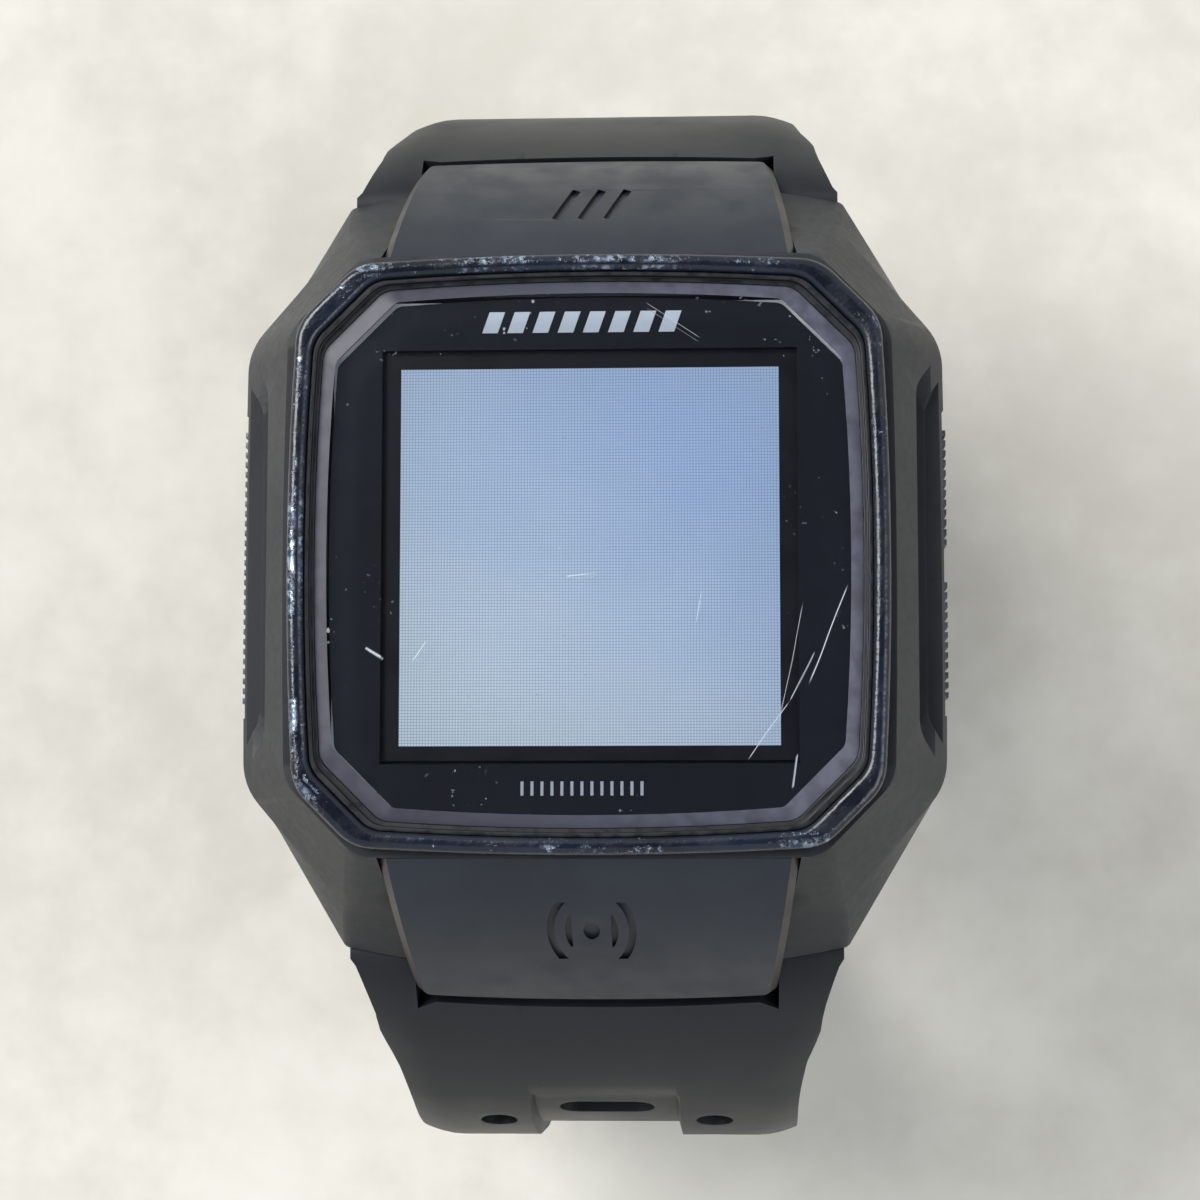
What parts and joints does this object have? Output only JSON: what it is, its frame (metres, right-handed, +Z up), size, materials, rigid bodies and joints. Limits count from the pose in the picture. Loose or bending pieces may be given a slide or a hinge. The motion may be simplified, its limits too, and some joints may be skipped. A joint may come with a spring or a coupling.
{
  "type": "gps surf watch",
  "caption": "Square-faced GPS surf watch with side push buttons, a curled twin-prong rubber strap and a reflective display.",
  "frame": {"origin": "on the table, under the middle of the bounding box", "axes": "+Z up out of the display, +Y towards 12 o'clock, +X towards 3 o'clock"},
  "size_m": [0.0438, 0.0708, 0.066],
  "materials": {
    "case_plastic": "fine matte moulded texture",
    "plate_plastic": "satin moulded, scratched",
    "bezel_coating": "glossy dark coating worn to bright metal on its edges",
    "glass": "polished, scratched",
    "print": "black print under glass",
    "display": "reflective dot-matrix display",
    "strap_rubber": "soft matte",
    "seal_rubber": "smooth",
    "steel": "brushed",
    "dark_steel": "satin dark coating",
    "board": "solder mask",
    "chip": "moulded",
    "ceramic": "glazed",
    "battery": "pouch foil",
    "white_plastic": "moulded",
    "ribbon": "polyimide",
    "button_plastic": "satin with grip ribs",
    "gold": "plated"
  },
  "bodies": {
    "head": {"case_shell": "case_plastic", "upper_end_plate": "plate_plastic", "lower_end_plate": "plate_plastic", "bezel_ring": "bezel_coating", "bezel_gasket": "seal_rubber", "crystal": "glass", "dial_mask": "print", "lcd_module": "display", "display_frame": "white_plastic", "display_flex_cable": "ribbon", "main_board": "board", "board_chips": "chip", "shield_can": "steel", "gps_antenna": "ceramic", "battery_cell": "battery", "buzzer": "gold", "side_switches": "chip", "case_back": "case_plastic", "case_back_gasket": "seal_rubber", "case_back_screws": "steel", "contact_block": "chip", "charging_contacts": "gold", "lower_strap_pin": "steel", "upper_strap_pin": "steel", "strap_pin_screws": "steel", "left_button_spring": "steel", "upper_right_button_spring": "steel", "lower_right_button_spring": "steel"},
    "lower_strap_near": {"lower_strap_base": "strap_rubber"},
    "lower_strap_far": {"lower_strap_end": "strap_rubber"},
    "upper_strap_near": {"upper_strap_base": "strap_rubber"},
    "upper_strap_far": {"upper_strap_end": "strap_rubber"},
    "buckle": {"buckle_frame": "dark_steel", "buckle_bar": "steel"},
    "prongs": {"buckle_prongs": "dark_steel"},
    "keeper": {"strap_keeper": "strap_rubber"},
    "left_button": {"left_button_cap": "button_plastic", "left_button_stem": "steel", "left_button_o_ring": "seal_rubber", "left_button_clip": "steel"},
    "upper_right_button": {"upper_right_button_cap": "button_plastic", "upper_right_button_stem": "steel", "upper_right_button_o_ring": "seal_rubber", "upper_right_button_clip": "steel"},
    "lower_right_button": {"lower_right_button_cap": "button_plastic", "lower_right_button_stem": "steel", "lower_right_button_o_ring": "seal_rubber", "lower_right_button_clip": "steel"}
  },
  "joints": [
    {"name": "left_button_press", "type": "slide", "parent": "head", "child": "left_button", "axis": [1, 0, 0], "range_m": [0, 0.001], "stiffness_N_per_m": 1200, "springref_m": -0.0008, "deforming": ["left_button_spring"]},
    {"name": "upper_right_button_press", "type": "slide", "parent": "head", "child": "upper_right_button", "axis": [-1, 0, 0], "range_m": [0, 0.001], "stiffness_N_per_m": 1200, "springref_m": -0.0008, "deforming": ["upper_right_button_spring"]},
    {"name": "lower_right_button_press", "type": "slide", "parent": "head", "child": "lower_right_button", "axis": [-1, 0, 0], "range_m": [0, 0.001], "stiffness_N_per_m": 1200, "springref_m": -0.0008, "deforming": ["lower_right_button_spring"]},
    {"name": "lower_strap_pivot", "type": "hinge", "parent": "head", "child": "lower_strap_near", "pos_m": [0, -0.02267, 0.05318], "axis": [1, 0, 0], "range_deg": [0, 6]},
    {"name": "upper_strap_pivot", "type": "hinge", "parent": "head", "child": "upper_strap_near", "pos_m": [0, 0.02533, 0.05318], "axis": [-1, 0, 0], "range_deg": [0, 8]},
    {"name": "lower_strap_flex", "type": "hinge", "parent": "lower_strap_near", "child": "lower_strap_far", "pos_m": [0, -0.0354, 0.02897], "axis": [-1, 0, 0], "range_deg": [0, 60], "stiffness_Nm_per_rad": 0.12},
    {"name": "upper_strap_flex", "type": "hinge", "parent": "upper_strap_near", "child": "upper_strap_far", "pos_m": [0, 0.0354, 0.03308], "axis": [1, 0, 0], "range_deg": [0, 30], "stiffness_Nm_per_rad": 0.12},
    {"name": "buckle_tilt", "type": "hinge", "parent": "upper_strap_far", "child": "buckle", "pos_m": [0, -0.00184, 0.01598], "axis": [1, 0, 0], "range_deg": [-30, 25]},
    {"name": "prongs_swing", "type": "hinge", "parent": "buckle", "child": "prongs", "pos_m": [0, -0.00184, 0.01598], "axis": [1, 0, 0], "range_deg": [0, 60]},
    {"name": "keeper_slide", "type": "slide", "parent": "upper_strap_far", "child": "keeper", "axis": [0, 1, 0], "range_m": [-0.004, 0.004]}
  ],
  "couplings": [
    {"joint": "upper_strap_flex", "follows": "lower_strap_flex", "ratio": 0.5}
  ]
}
